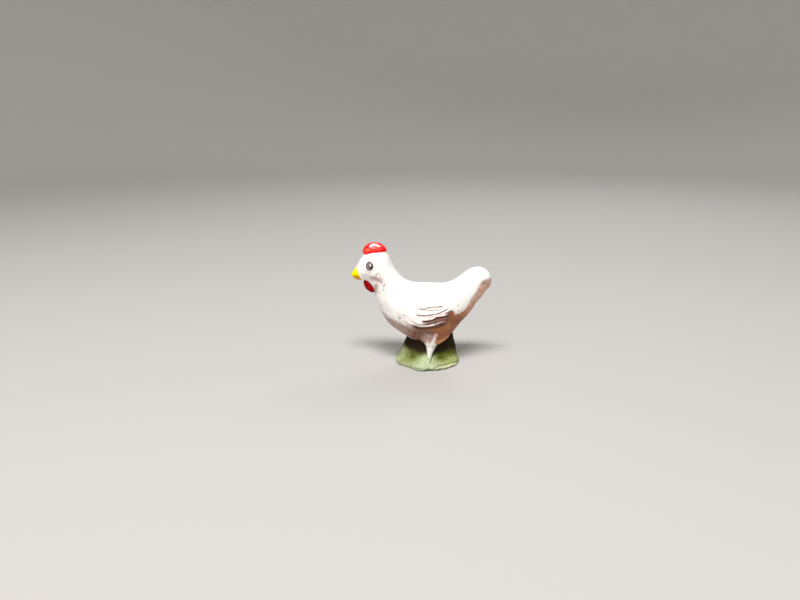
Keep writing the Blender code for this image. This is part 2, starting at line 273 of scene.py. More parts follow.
# The mound was stood on a board while soft, so whatever is lower than this is flat.
FLAT_BELOW = 0.06
from_crack, along_crack = near_line(CRACK, x, z)
crack = bell(from_crack, 0.05 + 0.10 * (1 - along_crack)) * ease(1.5, 3.0, np.abs(y))
relief -= CRACK_DEEP * crack
relief *= ease(0.0, 0.25, z)
places += normals * relief[:, None]
places[:, 2] = np.where(places[:, 2] < FLAT_BELOW, 0.0, places[:, 2])
move_to(mound, places)

# The height at which the dark brown painted shadow of the belly begins, from the front of the mound
# to its rear.
DARK_ALONG = (-4.8, -4.2, -2.9, -0.8, 1.5, 5.0)
DARK_FROM = (4.2, 3.1, 2.8, 2.4, 2.5, 2.7)
dark_from = np.interp(x, DARK_ALONG, DARK_FROM) + 0.35 * wobble
mask(mound, "shade", ease(-0.7, 0.7, z - dark_from))
# Painted shade: darker in the creases, the pores and the crack, in the valleys beside the foot and
# up the flanks towards the belly.
crease_shade = 0.5 * bell(crease, 0.12) * along_lip + 0.6 * bell(front_crease, 0.10) * along_front
mask(mound, "hollow_shade", crease_shade + 2.6 * pores + crack)
shaded_flanks = 0.95 * ease(0.9, 2.4, z + 0.2 * wobble) * (1 - 0.75 * fan)
mask(mound, "valley", np.maximum(1.15 * valley, shaded_flanks))
# Painted light: paler where the foot, the front and the rim face the light, with a painted
# highlight along the pinched lip.
lit_foot = 0.85 * bell(turn - (98 - 2 * z), 20) * (1 - ease(1.9, 2.8, z))
lit_front = 0.55 * bell(turn - 170, 14) * (1 - ease(2.6, 3.8, z))
lit_rim = 0.8 * bell(z - 0.3, 0.3) * ease(98, 112, turn)
lit_toe = 0.8 * bell(turn - 96, 26) * bell(z - 0.7, 0.7)
mask(mound, "pale", lit_foot + lit_front + lit_rim + lit_toe)
mask(mound, "lip", bell(crease + 0.42, 0.32) * along_lip)
mask(mound, "streak", 0.4 + 0.9 * strokes)


def linear(hex_colour):
    """A hex sRGB colour as the linear one that a shader reads."""
    channels = [int(hex_colour[i:i + 2], 16) / 255 for i in (0, 2, 4)]
    return (*(c / 12.92 if c < 0.04045 else ((c + 0.055) / 1.055) ** 2.4 for c in channels), 1.0)


def add(tree, kind, inputs=None, **settings):
    """A node with its settings, and with its inputs set or linked."""
    node = tree.nodes.new(kind)
    for name, value in settings.items():
        setattr(node, name, value)
    for name, value in (inputs or {}).items():
        if isinstance(value, bpy.types.NodeSocket):
            tree.links.new(value, node.inputs[name])
        else:
            node.inputs[name].default_value = value
    return node


def new_paint(name, roughness):
    """A paint with its shader, and the place of each point on the piece."""
    paint = bpy.data.materials.new(name)
    paint.use_nodes = True
    tree = paint.node_tree
    shader = tree.nodes["Principled BSDF"]
    shader.inputs["Roughness"].default_value = roughness
    shader.inputs["Metallic"].default_value = 0.0
    place = add(tree, "ShaderNodeTexCoord").outputs["Object"]
    return paint, tree, shader, place


def mottle(tree, place, millimetres, low, high, detail=4.0, within=None):
    """Patches of a real size, where noise rises from low to high, within a mask if one is named."""
    patches = add(
        tree,
        "ShaderNodeTexNoise",
        {"Vector": place, "Scale": 1 / (millimetres * MM), "Detail": detail},
    )
    factor = add(
        tree,
        "ShaderNodeMapRange",
        {"Value": patches.outputs["Fac"], "From Min": low, "From Max": high},
        interpolation_type="SMOOTHSTEP",
    ).outputs["Result"]
    if within is None:
        return factor
    kept = add(tree, "ShaderNodeAttribute", attribute_name=within).outputs["Fac"]
    return add(tree, "ShaderNodeMath", {0: kept, 1: factor}, operation="MULTIPLY").outputs[0]


def lay_coats(tree, colour, *coats):
    """Colours laid over the first one, each where its mask or its pattern is 1."""
    if isinstance(colour, str):
        colour = linear(colour)
    for where, top in coats:
        if isinstance(where, str):
            where = add(tree, "ShaderNodeAttribute", attribute_name=where).outputs["Fac"]
        if isinstance(top, str):
            top = linear(top)
        mix = add(tree, "ShaderNodeMix", {0: where, 6: colour, 7: top}, data_type="RGBA")
        colour = mix.outputs[2]
    return colour


def roughen(tree, shader, place, layers):
    """Fine relief of clay and brush, each layer with its grain size and height in millimetres."""
    normal = None
    for millimetres, tall in layers:
        grain = add(
            tree,
            "ShaderNodeTexNoise",
            {"Vector": place, "Scale": 1 / (millimetres * MM), "Detail": 3.0},
        )
        bump = add(
            tree,
            "ShaderNodeBump",
            {"Height": grain.outputs["Fac"], "Distance": tall * MM, "Strength": 1.0},
        )
        if normal:
            tree.links.new(normal, bump.inputs["Normal"])
        normal = bump.outputs["Normal"]
    tree.links.new(normal, shader.inputs["Normal"])


# Matt gouache on bisque clay, thin and streaky, with painted light and shade: paler where the mound
# faces the light, a painted highlight on its lip, darker in its valleys and hollows, and a dark
# brown painted shadow of the belly at the top.
moss, tree, shader, place = new_paint("moss_green_gouache_on_clay", roughness=0.82)
shader.inputs["Specular IOR Level"].default_value = 0.15
colour = lay_coats(
    tree,
    "929D5C",
    (mottle(tree, place, 1.8, 0.38, 0.62), "A8B373"),
    (mottle(tree, place, 0.5, 0.54, 0.74), "7E8946"),
    ("valley", "555A18"),
    ("pale", "BDC8A2"),
)
streaks = lay_coats(tree, "8A8A8A", ("streak", "C8C8C8"))
colour = add(
    tree, "ShaderNodeMix", {0: 0.55, 6: colour, 7: streaks}, data_type="RGBA", blend_type="OVERLAY"
).outputs[2]
colour = lay_coats(
    tree,
    colour,
    (mottle(tree, place, 0.5, 0.25, 0.62, within="lip"), "E6E6C2"),
    ("shade", "261D10"),
    ("hollow_shade", "33351A"),
)
tree.links.new(colour, shader.inputs["Base Color"])
roughen(tree, shader, place, ((0.5, 0.05), (0.16, 0.02)))
finish_piece(mound, "green_paint", moss, "base")

# The body
# The hen is pressed from red clay in a mould of two halves, from beak to tail with its wings and
# legs in relief, rubbed smooth at the seam, fired and brushed with thin white.

# The sides of the hen that face the camera and face away from it, as signs of y.
NEAR = -1
FAR = 1
# Back edge x and z, belly edge x and z, and half width of the body's sections, tail first.
BODY_SECTIONS = (
    (7.30, 18.65, 10.60, 13.60, 2.25),
    (5.80, 17.45, 9.20, 11.75, 2.75),
    (4.30, 16.60, 7.90, 9.80, 3.35),
    (2.70, 16.25, 6.10, 7.84, 3.95),
    (0.80, 16.30, 4.26, 5.44, 4.45),
    (-1.10, 16.30, 1.30, 4.55, 4.70),
    (-2.90, 16.40, -2.20, 4.50, 4.70),
    (-4.30, 16.85, -5.14, 5.96, 4.50),
    (-5.30, 17.55, -7.55, 7.80, 4.15),
    (-6.15, 18.50, -9.25, 10.25, 3.70),
    (-6.85, 19.60, -10.20, 12.80, 3.20),
    (-7.42, 20.68, -10.90, 15.10, 2.85),
    (-7.98, 21.95, -12.10, 16.60, 2.65),
    (-9.10, 22.85, -12.95, 16.90, 2.50),
    (-11.20, 22.80, -13.40, 16.95, 2.40),
    (-12.88, 21.70, -13.80, 16.95, 1.85),
    (-13.97, 19.92, -14.30, 17.05, 1.18),
    (-14.75, 18.85, -14.85, 17.35, 0.72),
    (-15.22, 18.15, -15.22, 17.85, 0.22),
)
# The round of the tail: its middle's x and z, its size, and how many degrees it points up.
TAIL_CENTRE = (9.62, 16.83)
TAIL_RADIUS = 2.74
TAIL_HALF_WIDTH = 2.0
TAIL_RISE = 34
# Height, front, rear, distance from the middle and half depth of a leg's sections.
LEG_SECTIONS = (
    (8.80, -0.60, 3.30, 1.80, 1.00),
    (7.70, -1.50, 4.05, 2.25, 1.40),
    (6.60, -2.10, 4.36, 2.50, 1.55),
    (5.60, -1.95, 3.78, 2.58, 1.50),
    (4.90, -1.10, 2.74, 2.74, 1.32),
    (4.20, -0.54, 1.68, 2.94, 1.05),
    (3.10, -0.38, 1.06, 3.06, 0.85),
    (2.00, -0.30, 0.70, 3.20, 0.66),
    (1.10, -0.14, 0.48, 3.44, 0.45),
)
# How far each feather edge of the wing stands out, and its points from front to rear.
FEATHER_EDGES = (
    (0.08, ((-0.90, 13.74), (0.50, 13.68), (3.50, 13.48))),
    (0.22, (
        (-2.60, 12.60), (-2.00, 12.38), (-1.32, 12.26), (-0.25, 12.47), (1.55, 12.62),
        (2.99, 12.74),
    )),
    (0.13, ((-1.30, 12.14), (-0.60, 12.06), (0.50, 12.02), (2.30, 12.08))),
    (0.30, (
        (-2.94, 11.53), (-2.22, 11.27), (-0.95, 11.15), (0.31, 11.28), (1.58, 11.46), (2.29, 11.76),
        (3.90, 12.36),
    )),
    (0.10, ((-0.60, 10.74), (0.60, 10.90), (1.90, 11.20), (3.00, 11.45))),
    (0.22, ((2.50, 11.45), (3.30, 11.58), (4.18, 11.94), (4.70, 12.02))),
    (0.33, (
        (-1.70, 10.20), (-0.45, 10.16), (0.33, 10.26), (0.95, 10.56), (1.40, 10.78), (2.67, 10.86),
        (3.90, 11.08),
    )),
    (0.12, ((0.30, 9.78), (1.40, 9.98), (2.60, 10.18), (4.00, 10.46))),
    (0.26, ((-3.50, 9.98), (-2.75, 9.70), (-2.02, 9.42), (-0.57, 9.50), (1.24, 9.80))),
)
# The wing's lower edge.
WING_EDGE_HIGH = 0.42
WING_EDGE = (
    (-4.30, 9.28), (-3.60, 9.22), (-2.93, 9.14), (-2.20, 8.94), (-1.65, 8.86), (-0.20, 9.00),
    (1.61, 9.46), (3.30, 9.90),
)
# An edge that stands out this far has its painted shade and painted highlight at full strength.
FULL_EDGE = 0.24
# Each edge rises to a crest that fades out above it, over a groove. Painted shade below the edge
# fades out downwards.
EDGE_RISE = 0.75
CREST_ABOVE_EDGE = 0.09
CREST_FADE = 0.50
GROOVE_BELOW_EDGE = 0.12
GROOVE_SHARE = 0.40
EDGE_SHADE_FADE = 0.30
# The swelling of the whole wing.
WING_CENTRE = (0.60, 11.10)
WING_HALF_SIZE = (4.60, 3.00)
WING_SWELL = 0.50
# The eye's middle, and the top and foot of the border between the white face and the beak.
EYE = (-11.47, 20.23)
BEAK_LINE = ((-14.20, 19.80), (-13.36, 17.30))


def section_place(back_x, back_z, belly_x, belly_z, half_width):
    """Lays a circle of radius 1 through a point of the back and one of the belly."""
    middle = Vector(((back_x + belly_x) / 2, 0, (back_z + belly_z) / 2))
    up = Vector(((back_x - belly_x) / 2, 0, (back_z - belly_z) / 2))
    out = Vector((0, half_width, 0))
    matrix = Matrix((up, out, up.cross(out).normalized())).transposed().to_4x4()
    matrix.translation = middle
    return matrix


def round_of_tail(angle):
    """The section through the round of the tail that goes this many degrees out from its tip."""
    back = math.radians(TAIL_RISE + angle)
    belly = math.radians(TAIL_RISE - angle)
    return (
        TAIL_CENTRE[0] + TAIL_RADIUS * math.cos(back),
        TAIL_CENTRE[1] + TAIL_RADIUS * math.sin(back),
        TAIL_CENTRE[0] + TAIL_RADIUS * math.cos(belly),
        TAIL_CENTRE[1] + TAIL_RADIUS * math.sin(belly),
        TAIL_HALF_WIDTH * math.sin(math.radians(angle)),
    )


bm = bmesh.new()
rows = [round_of_tail(angle) for angle in (4, 14, 32, 58, 84)]
coil_up(bm, [section_place(*row) for row in smooth_between([*rows, *BODY_SECTIONS], 4)], points=72)
for side in (NEAR, FAR):
    coil_up(
        bm,
        [
            Matrix.Translation(((front + rear) / 2, side * out, height))
            @ Matrix.Diagonal(((rear - front) / 2, depth, 1, 1))
            for height, front, rear, out, depth in smooth_between(LEG_SECTIONS, 3)
        ],
        points=32,
    )
# The core of the comb is one clay with the crown; only its paint is a piece of its own.
COMB_CENTRE = Vector((-10.57, 0.0, 22.30))
COMB_HALF_SIZE = Vector((2.46, 1.28, 2.15))
PAINT_THICK = 0.10
CORE_SHARE = (0.95, 0.86, 0.97)
bmesh.ops.create_uvsphere(
    bm,
    u_segments=64,
    v_segments=40,
    radius=1,
    matrix=Matrix.Translation(COMB_CENTRE + Vector((PAINT_THICK, 0, 0)))
    @ Matrix.Diagonal((*(half - PAINT_THICK for half in COMB_HALF_SIZE), 1))
    @ Matrix.Diagonal((*CORE_SHARE, 1)),
)
body = knead("body", bm, grain=0.145, rubs=6)

# The wings and the face are modelled finer than the rest: x from and to, z from and to, and how far
# off the middle they start.
FINE_PARTS = ((-4.2, 5.2, 8.2, 14.2, 2.5), (-12.9, -7.6, 14.8, 21.6, 1.4))


def is_fine(place):
    """Whether a point lies in a part that is modelled finer."""
    return any(
        front < place.x < rear and low < place.z < high and abs(place.y) > off_middle
        for front, rear, low, high, off_middle in FINE_PARTS
    )


bm = bmesh.new()
bm.from_mesh(body.data)
fine = [edge for edge in bm.edges if all(is_fine(vert.co) for vert in edge.verts)]
bmesh.ops.subdivide_edges(bm, edges=fine, cuts=1, use_grid_fill=True)
bm.to_mesh(body.data)
bm.free()


def feather_gap(edge, x, z):
    """Height above a feather's edge, and how strongly the edge is pressed there."""
    path = np.array(smooth_between(edge, 6))
    above = z - np.interp(x, path[:, 0], path[:, 1])
    front, rear = edge[0][0], edge[-1][0]
    ends = ease(front - 0.1, front + 0.9, x) * (1 - ease(rear - 0.7, rear, x))
    return above, ends


def patch(x, z, middle, half_size):
    """A soft oval patch on the hen's side."""
    return bell(np.hypot((x - middle[0]) / half_size[0], (z - middle[1]) / half_size[1]), 1.0)


places, normals = surface(body)
x, y, z = places.T
flank = ease(1.5, 3.0, np.abs(y))
wing_reach = np.hypot(
    (x - WING_CENTRE[0]) / WING_HALF_SIZE[0], (z - WING_CENTRE[1]) / WING_HALF_SIZE[1]
)
on_wing = (1 - ease(0.55, 1.1, wing_reach)) * flank
relief = WING_SWELL * on_wing
groove = np.zeros(len(places))
edge_shade = np.zeros(len(places))
lip = np.zeros(len(places))
ripple = 0.055 * lumps(places * (1, 0, 1), 0.7, 11) + 0.03 * lumps(places * (1, 0, 1), 0.28, 16)
broken_line = 0.45 + 0.7 * lumps(places, 0.6, 17)
for stands_out, edge in (*FEATHER_EDGES, (WING_EDGE_HIGH, WING_EDGE)):
    above, ends = feather_gap(edge, x, z + ripple)
    ends = ends * flank
    over_crest = np.clip(above - CREST_ABOVE_EDGE, 0, None)
    crest = ease(-0.05, CREST_ABOVE_EDGE, above) * np.exp(-over_crest / CREST_FADE)
    dip = GROOVE_SHARE * bell(above + GROOVE_BELOW_EDGE, 0.12)
    relief += EDGE_RISE * stands_out * ends * (crest - dip)
    strong = min(1.0, stands_out / FULL_EDGE) * ends
    # Each edge gets a dark line of painted shade in its groove, painted shade fading out below it
    # and a painted highlight on its crest.
    groove = np.maximum(groove, strong * bell(above + 0.07, 0.09) * broken_line)
    below_edge = np.exp(np.clip(above, None, 0) / EDGE_SHADE_FADE)
    edge_shade = np.maximum(edge_shade, strong * ease(-0.02, 0.08, -above) * below_edge)
    lip = np.maximum(lip, strong * bell(above - 0.15, 0.15))
# The last of them, the wing's lower edge, has the broadest painted highlight on its lip and a dark
# painted shadow below it.
lip = np.maximum(lip, 1.4 * ends * bell(above - 0.10, 0.26))
wing_shadow = 1.35 * ends * bell(above + 0.54, 0.48) * ease(-4.0, -2.2, x)

# The cheek is dented behind the jaw: x, z, size and depth of each dent. The small dents are painted
# darker inside.
DENTS = (
    (-9.90, 18.50, 0.40, 0.16), (-9.55, 18.15, 0.22, 0.12), (-10.20, 18.45, 0.20, 0.10),
    (-8.62, 16.62, 0.20, 0.20), (-8.84, 16.28, 0.24, 0.18), (-9.35, 16.92, 0.30, 0.14),
    (-8.88, 15.58, 0.24, 0.14), (-10.50, 17.60, 0.55, 0.16), (-11.20, 17.20, 0.50, 0.10),
    (-9.90, 17.20, 0.60, 0.12), (-9.60, 14.60, 0.80, 0.10),
)
SMALL_DENT = 0.35
dented = np.zeros(len(places))
for dent_x, dent_z, size, deep in DENTS:
    dent = patch(x, z, (dent_x, dent_z), (size, size)) * ease(0.8, 1.6, np.abs(y))
    relief -= deep * dent
    dented += dent * deep * (size < SMALL_DENT)

# Small pits show where grains fell out of the clay: x, z and side of each.
PITS = (
    (-5.75, 10.31, NEAR), (-4.88, 10.92, NEAR), (5.69, 12.56, NEAR),
    (-3.90, 11.90, FAR), (3.10, 14.80, FAR),
)
PIT_SIZE = (0.15, 0.15)
PIT_DEEP = 0.13
pitted = np.zeros(len(places))
for pit_x, pit_z, side in PITS:
    pitted += patch(x, z, (pit_x, pit_z), PIT_SIZE) * ease(0.5, 1.5, y * side)
relief -= PIT_DEEP * pitted

# The eye stands on a slight swelling in a shallow ring.
EYE_SWELLING = (0.85, 1.0)
EYE_SWELL = 0.13
EYE_RING_AT = 1.45
EYE_RING_DEEP = 0.06
from_eye = np.hypot((x - EYE[0]) / EYE_SWELLING[0], (z - EYE[1]) / EYE_SWELLING[1])
on_head = ease(1.0, 1.8, np.abs(y))
relief += EYE_SWELL * bell(from_eye, 0.95) * on_head
relief -= EYE_RING_DEEP * bell(from_eye - EYE_RING_AT, 0.3) * on_head

# A low ridge marks where the halves of the mould met, scraped away in places, lower on the head and
# sharp under the breast.
SEAM_HIGH = 0.05
SEAM_HALF_WIDTH = 0.17
KEEL_HIGH = 0.20
KEEL_HALF_WIDTH = 0.30
seam = bell(y, SEAM_HALF_WIDTH) * ease(0.0, 0.5, 0.2 + lumps(places * (1, 0, 1), 3.0, 21))
relief += (SEAM_HIGH - 0.02 * ease(15.0, 17.0, z)) * seam * ease(4.6, 5.2, z)
keel = ease(-5.2, -3.8, x) * (1 - ease(-0.6, 0.3, x)) * (1 - ease(6.0, 7.4, z))
relief += KEEL_HIGH * bell(y, KEEL_HALF_WIDTH) * keel

# Height, size and seed of the lumps that fingers left all over, and the depth of finer chips.
CLAY_LUMPS = ((0.085, 3.2, 12), (0.035, 1.3, 13), (0.014, 0.5, 14))
CHIP_DEEP = 0.15
relief += uneven(places, CLAY_LUMPS)
relief -= CHIP_DEEP * np.clip(lumps(places, 0.45, 15) - 0.5, 0, 1) * (1 - on_wing)

# A rounded edge runs from the leg up the front of the thigh.
THIGH_EDGE = ((0.45, 4.4), (0.75, 5.3), (1.20, 6.1), (1.30, 6.8), (1.45, 7.2))
THIGH_EDGE_HIGH = 0.12
thigh_path = np.array(THIGH_EDGE)
from_thigh_edge = x - np.interp(z, thigh_path[:, 1], thigh_path[:, 0])
along_thigh = ease(4.0, 4.8, z) * (1 - ease(6.6, 7.3, z)) * flank
relief += THIGH_EDGE_HIGH * bell(from_thigh_edge, 0.45) * along_thigh


def behind_beak(x, z):
    """How far behind the border of the yellow paint a point of the head is."""
    (top_x, top_z), (low_x, low_z) = BEAK_LINE
    return (x - top_x) + (top_z - z) * (top_x - low_x) / (top_z - low_z)


# The beak's clay is thinner by the coat that its own piece stands for.
BEAK_COAT = 0.20
relief -= BEAK_COAT * (1 - ease(-0.34, -0.06, behind_beak(x, z)))
places += normals * relief[:, None]

# Both upper sides of the comb are pressed straight along its length, which gives each a broad
# shine. FACET is how far a pressed side faces back, out and up, and the press sets in between the
# two heights of PRESSED_FROM.
PRESSED_DEEP = 1.48
PRESSED_ROUND = 4.0
PRESSED_UP = 1.26
PRESSED_SOFT = 0.10
PRESSED_SHARE = 0.95
FACET = (0.02, 0.79, 0.61)
PRESSED_FROM = (22.6, 22.9)


def press_comb(places, deep):
    """Flattens the upper sides of the comb, deep from its middle, and leaves its ridge round."""
    back, out, up = FACET
    for side in (NEAR, FAR):
        from_middle = places - np.array(COMB_CENTRE)
        facet = np.array((back, side * out, up))
        up_side = from_middle @ np.array((0.0, side * -up, out)) - PRESSED_UP
        proud = from_middle @ facet - deep + up_side**2 / (2 * PRESSED_ROUND)
        proud = (proud + np.hypot(proud, PRESSED_SOFT)) / 2 * ease(-2 * PRESSED_SOFT, 0, proud)
        on_side = ease(0.0, 0.30, places[:, 1] * side) * ease(-1.3, -0.4, up_side)
        on_side *= ease(*PRESSED_FROM, places[:, 2])
        places = places - PRESSED_SHARE * (proud * on_side)[:, None] * facet
    return places


move_to(body, press_comb(places, PRESSED_DEEP - 1.5 * PAINT_THICK))

# The white coat thins out towards the underside: greyish mauve under the breast, which is both clay
# showing through it and painted shade on the underside, and a wash of sienna over the rump, behind
# the wing and under the tail. The first two borders give a height along x, and the third gives the
# front of the sienna at each height.
MAUVE_BORDER = (
    (-11.2, 14.2), (-10.6, 12.4), (-9.6, 11.2), (-8.4, 10.35), (-7.4, 10.0), (-6.6, 9.8),
    (-5.6, 9.4), (-4.7, 9.0), (-3.6, 8.7), (-1.0, 8.6), (0.2, 8.7), (1.2, 9.0), (2.6, 9.2),
    (5.0, 9.0), (9.0, 9.0),
)
SIENNA_TOP = (
    (-2.0, 9.0), (-1.3, 9.95), (-0.4, 10.40), (0.5, 10.50), (1.2, 10.90), (2.0, 11.00),
    (2.8, 11.12), (3.5, 11.50), (4.1, 11.80), (4.7, 11.75), (5.1, 10.9), (5.9, 10.9), (6.8, 11.4),
    (8.0, 12.70), (9.2, 14.35), (9.8, 15.5), (10.4, 16.4), (11.2, 16.8), (12.6, 16.8),
)
SIENNA_FRONT = (
    (4.0, 1.3), (5.2, 1.5), (6.1, 1.7), (6.8, 1.45), (7.6, 0.8), (8.3, -0.35), (9.1, -0.9),
    (9.7, -2.0),
)
# The middle and half size of each patch: painted shade on the cheek, on the tail and near the
# wing's rear end, and two dark spots on the tail and the leg. Then the line of painted light at the
# foot of the rump.
CHEEK = ((-10.3, 17.60), (1.9, 0.95))
TAIL_PATCH = ((10.8, 16.5), (0.7, 0.9))
TAIL_SPOT = ((10.9, 16.6), (0.60, 0.60))
LEG_SPOT = ((0.88, 4.24), (0.15, 0.15))
REAR_EDGE = ((5.4, 9.2), (2.0, 1.7))
RUMP_FOOT = ((1.9, 5.1), (2.9, 5.5), (3.9, 5.9))


def past(line, along, across):
    """How far a value lies beyond a line drawn over the body's side."""
    line = np.array(line)
    return across - np.interp(along, line[:, 0], line[:, 1])


below_mauve = -past(MAUVE_BORDER, x, z)
below_sienna = -past(SIENNA_TOP, x, z)
behind_front = past(SIENNA_FRONT, z, x)
down_leg = ease(-0.3, 0.4, 0.75 + 0.20 * (z - 2.2) - np.abs(x - 0.34))
leg_white = down_leg * (1 - ease(3.7, 6.6, z)) * ease(1.2, 2.0, np.abs(y))
sienna = ease(-0.55, 0.55, below_sienna) * ease(-1.3, 1.1, behind_front) * (1 - leg_white)

# Behind this x a feather's painted highlight gives way to the sienna.
bare_from = np.where(above > 0.35, -0.9, 1.6)
lip *= 1 - 0.8 * ease(0.3, 0.9, sienna) * ease(-0.6, 0.6, x - bare_from)

behind_wing = bell(below_sienna + 0.2, 0.9) * ease(4.2, 5.2, x) * (1 - ease(5.8, 7.4, x))
down_throat = bell((x + 10.35 + 0.28 * (15.8 - z)) / 0.75, 1.0)
neck_front = down_throat * ease(12.6, 14.2, z) * (1 - ease(16.4, 17.4, z))
tail_border = bell(below_sienna + 0.30, 0.60) * ease(6.5, 8.5, x)
tail_patch = patch(x, z, *TAIL_PATCH)
cheek = patch(x + 0.5 * (z - 17.7), z, *CHEEK) * ease(0.6, 1.4, np.abs(y))
# Greyish mauve: clay through the thin white and painted shade under the breast, painted shade down
# the front of the neck, on the cheek, on the tail and at the top of the leg, and a soft grey where
# the sienna starts behind the wing and along the tail.
mauve_clay_and_shade = np.maximum.reduce([
    ease(-1.3, 1.6, below_mauve) * (1 - leg_white),
    0.64 * neck_front,
    0.70 * cheek,
    0.45 * behind_wing,
    0.22 * leg_white * ease(3.0, 4.2, z),
    0.68 * tail_border,
    0.62 * tail_patch,
])
# Painted shade, deeper towards the middle of the belly and less before the thigh.
before_thigh = bell(x + 0.1, 1.3) * ease(7.6, 6.6, z)
deep = ease(-5.4, -2.6, x) * ease(0.2, 1.4, below_mauve) * (1 - 0.75 * before_thigh)
# Painted shade on the sienna: on the wing's strips, low on the rump and near the wing's rear end.
sienna_shade = np.maximum.reduce([
    on_wing * ease(-0.8, 0.4, below_sienna),
    0.85 * ease(8.4, 6.2, z),
    0.7 * patch(x, z, *REAR_EDGE),
])
# Painted highlights on the feather lips, along the front edge of the thigh and in a pale band along
# the keel under the breast.
lit_crests = np.maximum.reduce([
    lip,
    0.75 * bell(from_thigh_edge, 0.30) * along_thigh,
    1.2 * (1 - ease(1.4, 2.3, np.abs(y))) * keel,
])
leg_spot = patch(x, z, *LEG_SPOT) * ease(0, 1, -y)
tail_spot = patch(x, z, *TAIL_SPOT) * np.clip(0.5 + 1.6 * lumps(places, 0.30, 23), 0, 1) * (y < 0)
# Darker brown: painted shade in the feather grooves, the pits and the small dents, and two spots on
# the leg and the tail.
marks_and_shade = groove + 0.7 * pitted + 0.7 * leg_spot + 0.8 * tail_spot + 4.0 * np.clip(dented, 0, 0.12)
speckled = bell(below_mauve + 0.6, 1.2) * (x < -2.5) + 0.7 * cheek + 0.9 * behind_wing
speckled += 0.4 * leg_white * ease(3.2, 4.4, z) + 0.5 * tail_border + 0.6 * tail_patch
for name, values in (
    ("mauve_clay_and_shade", mauve_clay_and_shade),
    ("deep", deep),
    ("sienna", sienna),
    ("sienna_shade", sienna_shade),
    ("tail", ease(6.0, 9.5, x)),
    ("lit_rump_foot", bell(near_line(RUMP_FOOT, x, z)[0], 0.42) * flank),
    ("lip", lit_crests),
    ("edge_shade", edge_shade),
    ("wing_shadow", wing_shadow),
    ("marks_and_shade", marks_and_shade),
    ("speckled", speckled),
):
    mask(body, name, values)

# Thin white over red-brown clay: matt, a little chalky, never quite one tone, with painted light
# and shade laid into it.
white, tree, shader, place = new_paint("matt_white_paint_on_red_clay", roughness=0.55)
# A border of paint starts to show at the first of these, and is full at the second.
BORDER_FROM = 0.15
BORDER_TO = 0.80


def blurred(tree, place, name, millimetres, rag):
    """A border of paint kept in a mask, made ragged by noise of a real size."""
    noise_node = add(
        tree,
        "ShaderNodeTexNoise",
        {"Vector": place, "Scale": 1 / (millimetres * MM), "Detail": 4.0},
    )
    ragged = add(
        tree,
        "ShaderNodeMath",
        {
            0: noise_node.outputs["Fac"],
            1: rag,
            2: add(tree, "ShaderNodeAttribute", attribute_name=name).outputs["Fac"],
        },
        operation="MULTIPLY_ADD",
    ).outputs[0]
    return add(
        tree,
        "ShaderNodeMapRange",
        {"Value": ragged, "From Min": BORDER_FROM + rag / 2, "From Max": BORDER_TO + rag / 2},
        interpolation_type="SMOOTHSTEP",
    ).outputs["Result"]


# The mauve stands both for clay under the thin white and for painted shade, and is darker still
# towards the middle of the belly as painted shade.
pale_mauve = lay_coats(tree, "A4877E", (mottle(tree, place, 0.6, 0.38, 0.62), "BCA39A"))
mauve_in_shade = lay_coats(tree, "75473B", (mottle(tree, place, 0.6, 0.38, 0.62), "956856"))
mauve = lay_coats(tree, pale_mauve, ("deep", mauve_in_shade))
tail_tone = lay_coats(tree, "CC977B", (mottle(tree, place, 0.7, 0.35, 0.65), "DDB7A3"))
# The sienna is darker as painted shade on the wing and low on the rump, and a lighter orange as
# painted light along the foot of the rump.
sienna_paint = lay_coats(
    tree,
    "A86438",
    (mottle(tree, place, 0.9, 0.36, 0.64), "BC7C4A"),
    ("sienna_shade", "74432A"),
    ("lit_rump_foot", "D28A4C"),
    ("tail", tail_tone),
)
colour = lay_coats(
    tree,
    "F6F4F2",
    (mottle(tree, place, 3.0, 0.35, 0.70), "EFECE8"),
    (blurred(tree, place, "mauve_clay_and_shade", 0.5, 0.55), mauve),
    (blurred(tree, place, "sienna", 0.4, 0.7), sienna_paint),
)
# Painted shade below each feather edge.
in_edge_shade = add(tree, "ShaderNodeAttribute", attribute_name="edge_shade").outputs["Fac"]
colour = add(
    tree,
    "ShaderNodeMix",
    {0: in_edge_shade, 6: colour, 7: linear("A87F78")},
    data_type="RGBA",
    blend_type="MULTIPLY",
).outputs[2]
# Then speckles, a dark painted shadow under the wing, painted highlights on the crests, and dark
# brown for painted shade in grooves, pits and dents and for two spots.
colour = lay_coats(
    tree,
    colour,
    (mottle(tree, place, 0.50, 0.46, 0.84, detail=2.0, within="speckled"), "B59C94"),
    (mottle(tree, place, 0.6, 0.05, 0.42, within="wing_shadow"), "612C1E"),
    (mottle(tree, place, 0.5, 0.25, 0.50, within="lip"), "F6EEE8"),
    ("marks_and_shade", "6E423A"),
)
tree.links.new(colour, shader.inputs["Base Color"])
roughen(tree, shader, place, ((0.45, 0.030), (0.14, 0.010)))
finish_piece(body, "white_paint", white, "torso", "neck", "head", "tail", "wing_left", "wing_right",
             "leg_left", "leg_right")

# The beak
# A stubby cone of the same clay under thick yellow, with the mouth drawn in a dark brush line on
# each side. White from the face runs a little way over its root.

# The coat goes on under the white at its root by this much, and narrows there towards ROOT_MIDDLE.
TUCKED_IN = 0.45
ROOT_MIDDLE = 18.5
ROOT_NARROWS = 0.3
COAT_PROUD = 0.03
MOUTH_HEIGHT = 17.86
MOUTH_HALF_WIDTH = 0.095
MOUTH_DEEP = 0.10

